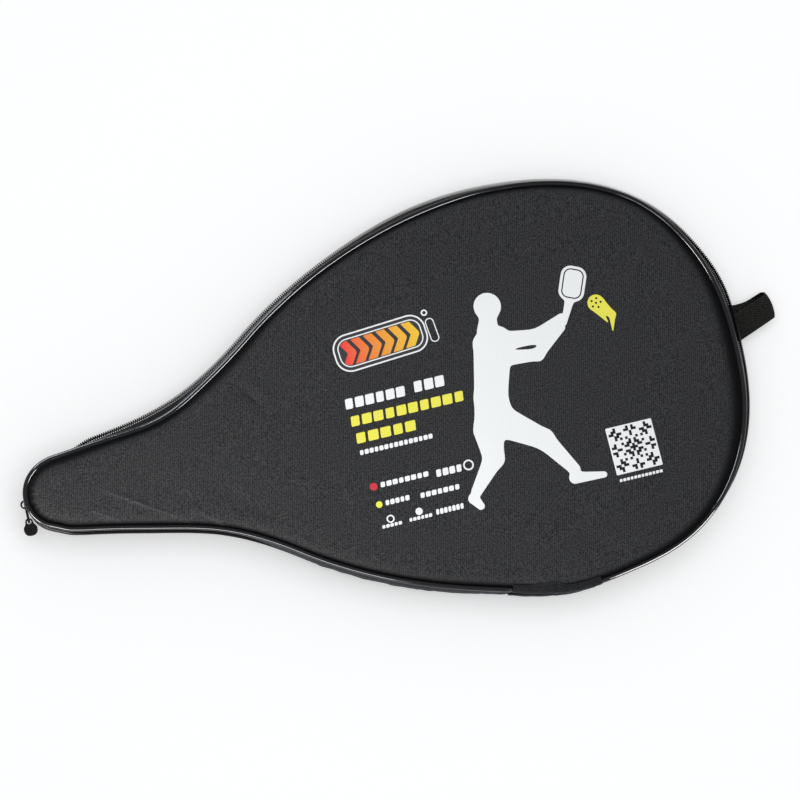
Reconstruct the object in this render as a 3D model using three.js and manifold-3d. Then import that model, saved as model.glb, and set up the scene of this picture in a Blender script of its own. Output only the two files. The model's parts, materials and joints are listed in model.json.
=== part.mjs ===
// Zipped case for one racket-sport paddle, lying on its back, closed.
// Millimetres. +X runs from the handle end to the head, +Y to the zipped side, +Z up.
// Two padded panels (back and lid) are edged with piping and joined round the rim by
// a coil zip. A fabric gusset on the -Y side is the hinge that the lid opens on.
//
// Places round the rim are measured in millimetres along the case's outer outline,
// from the handle tip (0), positive along the zipped side. An "inset" is a distance
// inwards from that outline.

import * as THREE from 'three';
import { mergeVertices } from 'three/addons/utils/BufferGeometryUtils.js';
import Module from 'manifold-3d';

const wasm = await Module();
wasm.setup();

// ---------------------------------------------------------------- driving sizes

// Outline, seen from above. The -Y half mirrors the +Y half.
const HALF_LENGTH = 215;
const HANDLE_RADIUS = 26.3;
const HANDLE_ARC_END = THREE.MathUtils.degToRad(98.6);
const HANDLE_RUN = 52.7;
const SHOULDER = new THREE.Vector2(-72, 67.5);
const SHOULDER_SLOPE = THREE.MathUtils.degToRad(36);
const SHOULDER_RUN_IN = 60;
const SHOULDER_RUN_OUT = 78.7;
const BELLY = new THREE.Vector2(84, 121.8);
const BELLY_RUN_IN = 24.9;
const BELLY_RUN_OUT = 80;
const NOSE_RUN = 83.2;

// Heights. Lid pieces mirror back pieces about the middle plane.
const THICKNESS = 31;
const MIDDLE = THICKNESS / 2;
const GAP = 0.3;

// Padded panels, from the outside in.
const SKIN = 1.2;
const FOAM = 4;
const LINING = 0.8;
const CROWN_RISE = 3.5;
const CROWN_RUN = 18;
const SKIN_INSET = 7.4;
const FOAM_INSET = 11.4;
const FOAM_RUN = 14;
const FOAM_LIP = 0.6;
const SKIN_ROLL_STEPS = 2;
const FOAM_ROLL_STEPS = 1;

// Rim: piping, seam binding, zip tape and zip coil.
const PIPING_RADIUS = 1.5;
const PIPING_INSET = 5.5;
const PIPING_HEIGHT = 4;
const PIPING_SIDES = 6;
const BINDING = { outer: 8.2, inner: 10.6, low: 5, high: 9.6 };
const TAPE_THICKNESS = 0.8;
const TAPE_SEAM = { inset: 5.6, z: 5.9 };
const TAPE_EDGE = { inset: 2.7, low: 12.2, high: 15.3 };
const COIL = { outer: 0.2, inner: 2.4, low: 12.6, high: 15.3 };
const COIL_START = -4;

// Round the handle tip the zip sits deeper than it does along the sides, under the
// piping. It is deepest up to x = full and level with the sides from x = none.
const TUCK = { depth: 4.4, full: -192.5, none: -168, top: 11 };

// Fabric hinge on the -Y side, and the cover over the gap in the piping.
const COVER_START = 732;
const COVER_LENGTH = 50;
const ZIP_UNDER_COVER = 4;
const COVER = { outer: 2.4, inner: 6.9, low: 2.2, high: 5.6 };
const GUSSET_BULGE = 2.2;
const GUSSET_THICKNESS = 0.8;
const TIP_SEAM = 11;

// Zip slider, its bail, puller and pull tab, and the stops at the coil's ends.
const SLIDER_HALF = 5;
const SLIDER_PLATE = { outer: -1.9, inner: -0.6, half: 4.2 };
const SLIDER_FLANGE = { inner: 2.2, near: 3.4 };
const SLIDER_BACK = { outer: 3.9, inner: 4.9, half: 3.1 };
const COIL_CLEARANCE = 1.5;
const STOP = { length: 2.4, outer: 0.4, gap: 1 };
const BAIL = { place: 0, reach: 3.6, half: 2.5, bar: 0.9, height: 2.2, slack: 0.2 };
const PULLER = { length: 10.2, bar: 1.2, gap: 1.9, rail: 1, turn: THREE.MathUtils.degToRad(270) };
const TAB = {
  turn: THREE.MathUtils.degToRad(270), length: 8, half: 3.9, eye: 2.2, hole: 1.3, thickness: 1.8,
  waist: 0.25, widest: 0.5, heel: 0.85, taper: 0.65,
};

// Webbing hang loop at the head end.
const LOOP = {
  place: 9, inset: 1.4, z: 5.9, width: 15, length: 27,
  web: 1.1, mouth: 0.9, turn: THREE.MathUtils.degToRad(19),
};

// Lengths of the straight steps that stand for curves, and the merging tolerance.
const PANEL_STEP = 11;
const RIM_STEP = 7;
const SLIDER_STEP = 2;
const ARC_STEPS = 6;
const MERGE = 1e-4;

// ---------------------------------------------------------------- materials

function material(color, roughness, metalness = 0) {
  return new THREE.MeshStandardMaterial({ color, roughness, metalness });
}

const WOVEN = () => material(0x2b2b2f, 0.85);
const LINING_CLOTH = () => material(0x222225, 0.9);
const FOAM_SHEET = () => material(0x3a3a3c, 0.95);
const VINYL = () => material(0x161617, 0.25);
const TAPE_CLOTH = () => material(0x1d1d20, 0.9);
const NYLON = () => material(0x1a1a1d, 0.5);
const WEBBING = () => material(0x232326, 0.9);
const ENAMEL = () => material(0x141416, 0.35, 0.5);
const SOFT_RUBBER = () => material(0x1a1a1c, 0.6);

// ---------------------------------------------------------------- outline

function upperHalfOutline() {
  const path = new THREE.Path();
  const centre = HANDLE_RADIUS - HALF_LENGTH;
  path.absarc(centre, 0, HANDLE_RADIUS, Math.PI, HANDLE_ARC_END, true);
  const start = path.currentPoint.clone();
  const away = new THREE.Vector2(Math.sin(HANDLE_ARC_END), -Math.cos(HANDLE_ARC_END));
  const slope = new THREE.Vector2(Math.cos(SHOULDER_SLOPE), Math.sin(SHOULDER_SLOPE));
  const leave = start.clone().addScaledVector(away, HANDLE_RUN);
  const rise = SHOULDER.clone().addScaledVector(slope, -SHOULDER_RUN_IN);
  const climb = SHOULDER.clone().addScaledVector(slope, SHOULDER_RUN_OUT);
  path.bezierCurveTo(leave.x, leave.y, rise.x, rise.y, SHOULDER.x, SHOULDER.y);
  path.bezierCurveTo(climb.x, climb.y, BELLY.x - BELLY_RUN_IN, BELLY.y, BELLY.x, BELLY.y);
  path.bezierCurveTo(BELLY.x + BELLY_RUN_OUT, BELLY.y, HALF_LENGTH, NOSE_RUN, HALF_LENGTH, 0);
  return path;
}

const upperHalf = upperHalfOutline();
const RIM_LENGTH = 2 * upperHalf.getLength();

// Point on the outline and the direction straight inwards there.
function rimAt(place) {
  const turn = THREE.MathUtils.euclideanModulo(place / RIM_LENGTH, 1);
  const half = turn <= 0.5 ? 2 * turn : 2 - 2 * turn;
  const side = turn <= 0.5 ? 1 : -1;
  const point = upperHalf.getPoint(half);
  const along = upperHalf.getTangent(half);
  return {
    point: new THREE.Vector2(point.x, side * point.y),
    inward: new THREE.Vector2(along.y, -side * along.x),
  };
}

function insetPoint(place, inset) {
  const { point, inward } = rimAt(place);
  return point.addScaledVector(inward, inset);
}

function insetLoop(inset) {
  const count = Math.round(RIM_LENGTH / PANEL_STEP);
  return Array.from({ length: count }, (_, i) => insetPoint((i * RIM_LENGTH) / count, inset));
}

class RimCurve extends THREE.Curve {
  constructor(start, end) {
    super();
    this.start = start;
    this.end = end;
  }

  getPoint(t, target = new THREE.Vector3()) {
    const { point } = rimAt(THREE.MathUtils.lerp(this.start, this.end, t));
    return target.set(point.x, point.y, 0);
  }
}

// ---------------------------------------------------------------- shape helpers

function flipHeight(section) {
  return section.map(([inset, z]) => [inset, THICKNESS - z]);
}

// A section, drawn as [inset, z] points, carried along a stretch of the rim.
function sweepRim(section, start, end, step = RIM_STEP) {
  const shape = new THREE.Shape(section.map(([inset, z]) => new THREE.Vector2(-z, -inset)));
  const extrudePath = new RimCurve(start, end);
  const steps = Math.max(2, Math.ceil((end - start) / step));
  return new THREE.ExtrudeGeometry(shape, { steps, extrudePath });
}

function rectangle(outer, inner, low, high) {
  return [[outer, low], [inner, low], [inner, high], [outer, high]];
}

function deeper(section, depth) {
  return section.map(([inset, z]) => [inset + depth, z]);
}

// Moves a rim piece's points towards the handle's middle line where the zip is tucked
// under: fully at the zip's height, not at all at the seams.
function tuckUnder(geometry) {
  const points = geometry.attributes.position;
  const point = new THREE.Vector3();
  const target = new THREE.Vector3();
  for (let i = 0; i < points.count; i += 1) {
    point.fromBufferAttribute(points, i);
    const height = Math.min(point.z, THICKNESS - point.z);
    const share = THREE.MathUtils.clamp((height - TAPE_SEAM.z) / (TUCK.top - TAPE_SEAM.z), 0, 1);
    const fade = 1 - THREE.MathUtils.smoothstep(point.x, TUCK.full, TUCK.none);
    target.set(Math.max(point.x, HANDLE_RADIUS - HALF_LENGTH), 0, point.z).sub(point).normalize();
    point.addScaledVector(target, TUCK.depth * share * fade);
    points.setXYZ(i, point.x, point.y, point.z);
  }
  return geometry;
}

function toManifold(geometry) {
  const bare = geometry.clone();
  bare.deleteAttribute('normal');
  bare.deleteAttribute('uv');
  const merged = mergeVertices(bare, MERGE);
  const vertProperties = new Float32Array(merged.attributes.position.array);
  const triVerts = new Uint32Array(merged.index.array);
  return new wasm.Manifold(new wasm.Mesh({ numProp: 3, vertProperties, triVerts }));
}

function fromManifold(solid) {
  const { numProp, vertProperties, triVerts } = solid.getMesh();
  const positions = new Float32Array((vertProperties.length / numProp) * 3);
  for (let i = 0; i < positions.length / 3; i += 1) {
    positions.set(vertProperties.subarray(i * numProp, i * numProp + 3), i * 3);
  }
  const geometry = new THREE.BufferGeometry();
  geometry.setAttribute('position', new THREE.BufferAttribute(positions, 3));
  geometry.setIndex(Array.from(triVerts));
  return geometry;
}

function subtract(geometry, tool) {
  return fromManifold(toManifold(geometry).subtract(toManifold(tool)));
}

// Flat plate of the outline's shape.
function plate(inset, low, high) {
  const shape = new THREE.Shape(insetLoop(inset));
  return new THREE.ExtrudeGeometry(shape, { depth: high - low, bevelEnabled: false }).translate(0, 0, low);
}

// Plate whose lower edge rolls up by `rise` over the last `run` millimetres.
function rolledPlate(inset, run, rise, depth, bevelSegments) {
  const shape = new THREE.Shape(insetLoop(inset + run));
  const bevel = { bevelThickness: rise, bevelSize: run, bevelSegments };
  return new THREE.ExtrudeGeometry(shape, { depth, ...bevel }).translate(0, 0, rise);
}

// ---------------------------------------------------------------- padded panels

// Woven outer skin: a shallow dish of even thickness.
function skinSheet() {
  const block = rolledPlate(SKIN_INSET, CROWN_RUN, CROWN_RISE, 2 * SKIN, SKIN_ROLL_STEPS);
  return subtract(block, block.clone().translate(0, 0, SKIN));
}

// Foam pad: rolled where it meets the skin, flat towards the paddle.
function foamPad() {
  const low = SKIN + GAP;
  const block = rolledPlate(FOAM_INSET, FOAM_RUN, FOAM - FOAM_LIP, FOAM, FOAM_ROLL_STEPS);
  block.translate(0, 0, low);
  const above = new THREE.BoxGeometry(3 * HALF_LENGTH, 2 * HALF_LENGTH, THICKNESS);
  above.translate(0, 0, low + FOAM + THICKNESS / 2);
  return subtract(block, above);
}

function liningSheet() {
  const low = SKIN + GAP + FOAM + GAP;
  return plate(FOAM_INSET, low, low + LINING);
}

// ---------------------------------------------------------------- rim pieces

// Binding tape that wraps the raw edges of the seam, all the way round inside the rim.
function seamBinding() {
  const { outer, inner, low, high } = BINDING;
  return subtract(plate(outer, low, high), plate(inner, 0, MIDDLE));
}

function pipingSection() {
  return Array.from({ length: PIPING_SIDES }, (_, i) => {
    const angle = ((i + 0.5) / PIPING_SIDES) * 2 * Math.PI;
    return [
      PIPING_INSET + PIPING_RADIUS * Math.cos(angle),
      PIPING_HEIGHT + PIPING_RADIUS * Math.sin(angle),
    ];
  });
}

function tapeSection() {
  const { inset, z } = TAPE_SEAM;
  const edge = TAPE_EDGE;
  const thick = TAPE_THICKNESS;
  return [
    [inset, z], [inset + thick, z], [edge.inset + thick, edge.low],
    [edge.inset + thick, edge.high], [edge.inset, edge.high], [edge.inset, edge.low],
  ];
}

function coilSection() {
  const { outer, inner, low, high } = COIL;
  return rectangle(outer, inner, low, high);
}

function gussetSection() {
  const { inset, z } = TAPE_SEAM;
  const thick = GUSSET_THICKNESS;
  const top = THICKNESS - z;
  return [
    [inset, z], [inset + thick, z], [GUSSET_BULGE + thick, MIDDLE],
    [inset + thick, top], [inset, top], [GUSSET_BULGE, MIDDLE],
  ];
}

const COVER_END = COVER_START + COVER_LENGTH;
const ZIP_END = COVER_START + ZIP_UNDER_COVER;

function piping(section) {
  return sweepRim(section, COVER_END + GAP, RIM_LENGTH + COVER_START - GAP);
}

function hingeCover(mirrored) {
  const { outer, inner, low, high } = COVER;
  const section = rectangle(outer, inner, low, high);
  return sweepRim(mirrored ? flipHeight(section) : section, COVER_START, COVER_END);
}

const STOP_SECTION = rectangle(STOP.outer, COIL.inner, COIL.low, COIL.high - GAP);
const COIL_END = ZIP_END - STOP.gap - STOP.length - GAP;

function topStop(mirrored) {
  const section = deeper(mirrored ? flipHeight(STOP_SECTION) : STOP_SECTION, TUCK.depth);
  const end = -SLIDER_HALF - STOP.gap;
  return sweepRim(section, end - STOP.length, end);
}

function bottomStop() {
  return sweepRim(STOP_SECTION, ZIP_END - STOP.gap - STOP.length, ZIP_END - STOP.gap);
}

// ---------------------------------------------------------------- slider and puller

// Outer plate with a flange along each edge that hooks over the coil.
function sliderBody() {
  const { outer, inner, half } = SLIDER_PLATE;
  const hook = SLIDER_FLANGE;
  const section = [
    [outer, MIDDLE - half], [hook.inner, MIDDLE - half], [hook.inner, MIDDLE - hook.near],
    [inner, MIDDLE - hook.near], [inner, MIDDLE + hook.near], [hook.inner, MIDDLE + hook.near],
    [hook.inner, MIDDLE + half], [outer, MIDDLE + half],
  ];
  return sweepRim(deeper(section, TUCK.depth), -SLIDER_HALF, SLIDER_HALF, SLIDER_STEP);
}

function sliderInnerPlate() {
  const { outer, inner, half } = SLIDER_BACK;
  const section = deeper(rectangle(outer, inner, MIDDLE - half, MIDDLE + half), TUCK.depth);
  return sweepRim(section, -SLIDER_HALF, SLIDER_HALF, SLIDER_STEP);
}

// Arch on the outer plate, open above and below, that the puller hooks through.
const BAIL_FACE = TUCK.depth - HALF_LENGTH + SLIDER_PLATE.outer - GAP;

function sliderBail() {
  const { place, reach, half, bar, height } = BAIL;
  const arch = new THREE.Shape();
  arch.moveTo(BAIL_FACE, place - half);
  arch.lineTo(BAIL_FACE - reach + half, place - half);
  arch.absarc(BAIL_FACE - reach + half, place, half, -Math.PI / 2, Math.PI / 2, true);
  arch.lineTo(BAIL_FACE, place + half);
  arch.lineTo(BAIL_FACE, place + half - bar);
  arch.lineTo(BAIL_FACE - reach + half, place + half - bar);
  arch.absarc(BAIL_FACE - reach + half, place, half - bar, Math.PI / 2, -Math.PI / 2, false);
  arch.lineTo(BAIL_FACE, place - half + bar);
  const options = { depth: height, bevelEnabled: false, curveSegments: ARC_STEPS };
  return new THREE.ExtrudeGeometry(arch, options).translate(0, 0, MIDDLE - height / 2);
}

// The puller turns about a vertical bar inside the bail.
const PIVOT_X = BAIL_FACE - BAIL.reach + BAIL.half + BAIL.slack;
const PULLER_PIVOT = new THREE.Vector3(PIVOT_X, BAIL.place, MIDDLE);

// Frame of two vertical bars and two rails, drawn with its length along +X.
function zipPuller() {
  const { length, bar, gap, rail } = PULLER;
  const half = gap + rail;
  const frame = new THREE.Shape();
  frame.moveTo(-bar / 2, -half);
  frame.lineTo(length + bar / 2, -half);
  frame.lineTo(length + bar / 2, half);
  frame.lineTo(-bar / 2, half);
  const window = new THREE.Path();
  window.moveTo(bar / 2, -gap);
  window.lineTo(bar / 2, gap);
  window.lineTo(length - bar / 2, gap);
  window.lineTo(length - bar / 2, -gap);
  frame.holes.push(window);
  const geometry = new THREE.ExtrudeGeometry(frame, { depth: bar, bevelEnabled: false });
  return geometry.translate(0, 0, -bar / 2).rotateX(Math.PI / 2);
}

// Flat moulded tab with an eye round the puller's outer bar, its length along +X.
function pullTab() {
  const { length, half, eye, hole, thickness, waist, widest, heel, taper } = TAB;
  const outline = new THREE.Shape();
  outline.moveTo(0, -eye);
  outline.bezierCurveTo(length * waist, -eye, length * waist, -half, length * widest, -half);
  outline.bezierCurveTo(length * heel, -half, length, -half * taper, length, 0);
  outline.bezierCurveTo(length, half * taper, length * heel, half, length * widest, half);
  outline.bezierCurveTo(length * waist, half, length * waist, eye, 0, eye);
  outline.absarc(0, 0, eye, Math.PI / 2, -Math.PI / 2, false);
  const ring = new THREE.Path();
  ring.absarc(0, 0, hole, 0, 2 * Math.PI, true);
  outline.holes.push(ring);
  const options = { depth: thickness, bevelEnabled: false, curveSegments: ARC_STEPS };
  return new THREE.ExtrudeGeometry(outline, options).translate(0, 0, -thickness / 2);
}

// ---------------------------------------------------------------- hang loop

// Webbing folded back on itself, drawn with its length along +X and its width along Y.
function hangLoop() {
  const { width, length, web, mouth } = LOOP;
  const outer = web + mouth / 2;
  const end = length - outer;
  const fold = new THREE.Shape();
  fold.moveTo(0, -outer);
  fold.lineTo(end, -outer);
  fold.absarc(end, 0, outer, -Math.PI / 2, Math.PI / 2, false);
  fold.lineTo(0, outer);
  fold.lineTo(0, mouth / 2);
  fold.lineTo(end, mouth / 2);
  fold.absarc(end, 0, mouth / 2, Math.PI / 2, -Math.PI / 2, true);
  fold.lineTo(0, -mouth / 2);
  const options = { depth: width, bevelEnabled: false, curveSegments: ARC_STEPS };
  const geometry = new THREE.ExtrudeGeometry(fold, options);
  return geometry.translate(0, 0, -width / 2).rotateX(Math.PI / 2);
}

// ---------------------------------------------------------------- assembly

const paddleCase = new THREE.Group();

function add(name, geometry, look, parent = paddleCase) {
  const mesh = new THREE.Mesh(geometry, look);
  mesh.name = name;
  parent.add(mesh);
  return mesh;
}

// A lid piece is the back piece turned over about the case's long axis.
function turnOver(geometry) {
  return geometry.rotateX(Math.PI).translate(0, 0, THICKNESS);
}

function addBack() {
  add('back_panel', skinSheet(), WOVEN());
  add('back_foam', foamPad(), FOAM_SHEET());
  add('back_lining', liningSheet(), LINING_CLOTH());
  add('back_seam_binding', seamBinding(), TAPE_CLOTH());
  add('back_piping', piping(pipingSection()), VINYL());
  add('back_hinge_cover', hingeCover(false), WOVEN());
  add('back_zip_tape', tuckUnder(sweepRim(tapeSection(), -TIP_SEAM, ZIP_END)), TAPE_CLOTH());
  add('back_zip_coil', tuckUnder(sweepRim(coilSection(), COIL_START, COIL_END)), NYLON());
  add('top_stop_back', topStop(false), ENAMEL());
  add('bottom_stop', bottomStop(), ENAMEL());
}

function addLid() {
  add('front_panel', turnOver(skinSheet()), WOVEN());
  add('front_foam', turnOver(foamPad()), FOAM_SHEET());
  add('front_lining', turnOver(liningSheet()), LINING_CLOTH());
  add('front_seam_binding', turnOver(seamBinding()), TAPE_CLOTH());
  add('front_piping', piping(flipHeight(pipingSection())), VINYL());
  add('front_hinge_cover', hingeCover(true), WOVEN());
  const tape = sweepRim(flipHeight(tapeSection()), -TIP_SEAM, ZIP_END);
  add('front_zip_tape', tuckUnder(tape), TAPE_CLOTH());
  const coil = sweepRim(flipHeight(coilSection()), SLIDER_HALF + COIL_CLEARANCE, COIL_END);
  add('front_zip_coil', tuckUnder(coil), NYLON());
  add('top_stop_front', topStop(true), ENAMEL());
}

function addHinge() {
  const end = RIM_LENGTH - TIP_SEAM - GAP;
  add('hinge_gusset', tuckUnder(sweepRim(gussetSection(), ZIP_END + GAP, end)), WOVEN());
}

function addSlider() {
  add('slider_body', sliderBody(), ENAMEL());
  add('slider_inner_plate', sliderInnerPlate(), ENAMEL());
  add('slider_bail', sliderBail(), ENAMEL());
  const puller = new THREE.Group();
  puller.position.copy(PULLER_PIVOT);
  puller.rotation.z = PULLER.turn;
  add('zip_puller', zipPuller(), ENAMEL(), puller);
  const tab = new THREE.Group();
  tab.position.x = PULLER.length;
  tab.rotation.z = TAB.turn - PULLER.turn;
  add('pull_tab', pullTab(), SOFT_RUBBER(), tab);
  puller.add(tab);
  paddleCase.add(puller);
}

function addHangLoop() {
  const root = insetPoint(RIM_LENGTH / 2 - LOOP.place, LOOP.inset);
  const loop = add('hang_loop', hangLoop(), WEBBING());
  loop.position.set(root.x, root.y, LOOP.z + LOOP.web + LOOP.mouth / 2);
  loop.rotation.z = LOOP.turn;
}

addBack();
addLid();
addHinge();
addSlider();
addHangLoop();

// The origin is under the middle of everything, on the surface the case rests on.
const bounds = new THREE.Box3().setFromObject(paddleCase);
const middle = bounds.getCenter(new THREE.Vector3());
paddleCase.position.set(-middle.x, -middle.y, -bounds.min.z);

export default paddleCase;
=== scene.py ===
"""Looks of a zipped paddle case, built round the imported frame.

The case lies on its back: +X runs from the handle end to the head, +Y to the zipped
side and +Z up. Rim pieces are drawn in millimetres in the case's own coordinates and
turned into row metres when their mesh is made. A "place" is a distance along the outer
outline from the handle tip, positive along the zipped side, and an "inset" is a
distance inwards from that outline.
"""

import json
import math

import bmesh
import bpy
import numpy as np
from mathutils import Matrix, Vector, noise


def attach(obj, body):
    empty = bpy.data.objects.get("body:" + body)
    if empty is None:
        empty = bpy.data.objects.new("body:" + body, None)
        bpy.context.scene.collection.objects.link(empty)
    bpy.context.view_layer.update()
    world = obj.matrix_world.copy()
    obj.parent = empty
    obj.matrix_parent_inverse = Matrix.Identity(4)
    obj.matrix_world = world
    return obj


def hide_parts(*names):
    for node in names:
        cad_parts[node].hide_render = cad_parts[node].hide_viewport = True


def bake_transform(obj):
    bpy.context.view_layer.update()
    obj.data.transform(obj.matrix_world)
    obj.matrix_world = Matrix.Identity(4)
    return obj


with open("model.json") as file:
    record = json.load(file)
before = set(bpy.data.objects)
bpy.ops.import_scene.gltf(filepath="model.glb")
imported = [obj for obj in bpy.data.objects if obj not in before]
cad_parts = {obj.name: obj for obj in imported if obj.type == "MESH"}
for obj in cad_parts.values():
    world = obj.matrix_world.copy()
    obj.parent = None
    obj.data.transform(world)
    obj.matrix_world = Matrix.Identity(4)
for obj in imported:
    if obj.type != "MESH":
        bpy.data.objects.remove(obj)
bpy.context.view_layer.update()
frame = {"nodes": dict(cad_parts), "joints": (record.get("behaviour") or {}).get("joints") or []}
MM = 0.001

# ---------------- driving sizes, mm

HALF_LENGTH = 215.0
HANDLE_RADIUS = 26.3
HANDLE_CENTRE = np.array([HANDLE_RADIUS - HALF_LENGTH, 0.0])
HANDLE_ARC_END = math.radians(98.6)
HANDLE_RUN = 52.7
SHOULDER = (-72.0, 67.5)
SHOULDER_SLOPE = math.radians(36)
SHOULDER_RUN_IN = 60.0
SHOULDER_RUN_OUT = 78.7
BELLY = (84.0, 121.8)
BELLY_RUN_IN = 24.9
BELLY_RUN_OUT = 80.0
NOSE_RUN = 83.2

THICKNESS = 31.0
MIDDLE = THICKNESS / 2

PIPING_INSET = 5.5
PIPING_HEIGHT = 4.0
PIPING_RADIUS = 1.5
PANEL_INSET = 6.9
SEAM_HEIGHT = 4.6

COVER_START = 732.0
COVER_END = COVER_START + 50.0
ZIP_END = COVER_START + 4.0
TIP_SEAM = 11.0
COIL_PITCH = 1.3

# Round the handle tip the zip is tucked under the piping: fully up to x = TUCK_FULL, and
# not at all past TUCK_NONE. TUCK_HEIGHTS are where the wall starts and ends its way in.
TUCK_DEPTH = 4.4
TUCK_FULL = -192.5
TUCK_NONE = -168.0
TUCK_HEIGHTS = (5.9, 11.0)

# Where the sewn seam wanders: place, half length of the stretch, shift inwards.
SEAM_WANDER = [
    (6, 26, -2.8),
    (100, 26, 2.8),
    (470, 30, 1.2),
    (540, 42, 1.4),
    (678, 50, -4.2),
    (748, 34, -4.4),
    (985, 36, -3.3),
    (1049, 9, 1.4),
]

# The wall follows the seam's wander up to the first height and is free of it at the second.
SEAM_HEIGHTS = (5.0, 12.0)

# Where the wall between the seams stands in under them or out beyond them.
WALL_WANDER = [
    (290, 40, -1.5),
    (506, 22, -1.7),
    (706, 36, 2.4),
    (760, 24, 1.0),
    (985, 60, 2.6),
]

# ---------------- outline


ARC_SAMPLES = 200
CURVE_SAMPLES = 400
RIM_SAMPLES = 2401


def unit(vectors):
    """The same directions, each one long."""
    return vectors / np.linalg.norm(vectors, axis=-1, keepdims=True)


def bezier(a, b, c, d):
    t = np.linspace(0, 1, CURVE_SAMPLES)[:, None]
    a, b, c, d = (np.array(p, float) for p in (a, b, c, d))
    return (1 - t) ** 3 * a + 3 * (1 - t) ** 2 * t * b + 3 * (1 - t) * t * t * c + t**3 * d


def upper_outline():
    """Points on the +Y half of the outline, from the handle tip to the nose."""
    turn = np.linspace(math.pi, HANDLE_ARC_END, ARC_SAMPLES)
    arc = HANDLE_CENTRE + HANDLE_RADIUS * np.stack([np.cos(turn), np.sin(turn)], 1)
    away = np.array([math.sin(HANDLE_ARC_END), -math.cos(HANDLE_ARC_END)])
    slope = np.array([math.cos(SHOULDER_SLOPE), math.sin(SHOULDER_SLOPE)])
    shoulder = np.array(SHOULDER)
    before_belly = (BELLY[0] - BELLY_RUN_IN, BELLY[1])
    after_belly = (BELLY[0] + BELLY_RUN_OUT, BELLY[1])
    neck = bezier(arc[-1], arc[-1] + HANDLE_RUN * away, shoulder - SHOULDER_RUN_IN * slope, shoulder)
    flank = bezier(shoulder, shoulder + SHOULDER_RUN_OUT * slope, before_belly, BELLY)
    head = bezier(BELLY, after_belly, (HALF_LENGTH, NOSE_RUN), (HALF_LENGTH, 0))
    return np.vstack([arc, neck[1:], flank[1:], head[1:]])


def rim_table():
    """Evenly spaced points round the whole outline, with inward directions and places."""
    upper = upper_outline()
    lower = upper[::-1] * [1, -1]
    loop = np.vstack([upper, lower[1:]])
    lengths = np.r_[0, np.cumsum(np.hypot(*np.diff(loop, axis=0).T))]
    places = np.linspace(0, lengths[-1], RIM_SAMPLES)
    points = np.stack([np.interp(places, lengths, loop[:, k]) for k in (0, 1)], 1)
    along = np.roll(points[:-1], -1, 0) - np.roll(points[:-1], 1, 0)
    along = unit(np.vstack([along, along[:1]]))
    inward = np.stack([along[:, 1], -along[:, 0]], 1)
    return places, points, inward


RIM_PLACES, RIM_POINTS, RIM_INWARD = rim_table()
RIM_LENGTH = RIM_PLACES[-1]


def rim_at(places):
    """Points and inward directions at these places."""
    turned = np.mod(places, RIM_LENGTH)
    points, inward = (
        np.stack([np.interp(turned, RIM_PLACES, table[:, k]) for k in (0, 1)], 1)
        for table in (RIM_POINTS, RIM_INWARD)
    )
    return points, unit(inward)


def nearest_rim(points, batch=4000):
    """How far inside the outline each point lies, and the nearest place, batch by batch."""
    rim, places = RIM_POINTS[::3], RIM_PLACES[::3]
    distance = np.empty(len(points))
    place = np.empty(len(points))
    for start in range(0, len(points), batch):
        part = slice(start, start + batch)
        gaps = ((points[part, None, :] - rim[None, :, :]) ** 2).sum(2)
        nearest = gaps.argmin(1)
        distance[part] = np.sqrt(gaps[np.arange(len(gaps)), nearest])
        place[part] = places[nearest]
    return distance, place


def smoothstep(value, low, high):
    share = np.clip((value - low) / (high - low), 0, 1)
    return share * share * (3 - 2 * share)


def bump(places, centre, half):
    """1 at the centre place, fading on both sides of it round the rim."""
    gap = np.mod(np.asarray(places, float) - centre + RIM_LENGTH / 2, RIM_LENGTH) - RIM_LENGTH / 2
    return np.exp(-((gap / half) ** 2))


def wander(places, table):
    """The sum of a table's bumps: each row is a place, a half length and an amount."""
    return sum(amount * bump(places, centre, half) for centre, half, amount in table)


def seam_shift(places):
    """How far inwards the seam wanders at these places."""
    return wander(places, SEAM_WANDER)


def wall_shift(places, heights):
    """Shift inwards of the rim's wall: it follows the seams, wanders and is tucked at the tip."""
    height = np.minimum(heights, THICKNESS - heights)
    low, high = TUCK_HEIGHTS
    tucked = np.clip((height - low) / (high - low), 0, 1)
    points, _ = rim_at(places)
    tip = 1 - smoothstep(points[:, 0], TUCK_FULL, TUCK_NONE)
    follow = 1 - smoothstep(height, *SEAM_HEIGHTS)
    own = wander(places, WALL_WANDER) * (1 - tip)
    return (seam_shift(places) * follow.T + own * (1 - follow.T) + TUCK_DEPTH * tip * tucked.T).T


def shift_inwards(kind, places, heights):
    """How far points move inwards: with the "wall", with the "seam", or with the "binding",
    which follows the seam inwards only."""
    if kind == "wall":
        return wall_shift(places, heights)
    shift = seam_shift(places)
    if kind == "binding":
        shift = np.maximum(shift, 0)
    return (np.zeros_like(heights).T + shift).T


def ripple(place, length, seed):
    """Smooth unevenness along the rim, between about -1 and 1."""
    return noise.noise(Vector((place / length, seed, 0)))


def ripples(points, lengths, seed):
    """Smooth unevenness over flat points; lengths are its sizes in x and y."""
    return np.array([noise.noise(Vector((x / lengths[0], y / lengths[1], seed))) for x, y in points])


def joint(name):
    return next(j for j in frame["joints"] if j["name"] == name)


# The slider turns about the centre of the handle's round end.
CASE_ORIGIN = np.array(joint("slider_travel")["pos_m"][:2]) / MM - HANDLE_CENTRE


def to_row(points):
    """Case millimetres to row metres."""
    return (np.asarray(points, float) + np.r_[CASE_ORIGIN, 0]) * MM


# ---------------- materials


def new_material(name, color, roughness, specular):
    material = bpy.data.materials.new(name)
    material.use_nodes = True
    shader = material.node_tree.nodes["Principled BSDF"]
    shader.inputs["Base Color"].default_value = (*color, 1)
    shader.inputs["Roughness"].default_value = roughness
    shader.inputs["Specular IOR Level"].default_value = specular
    return material


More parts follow.
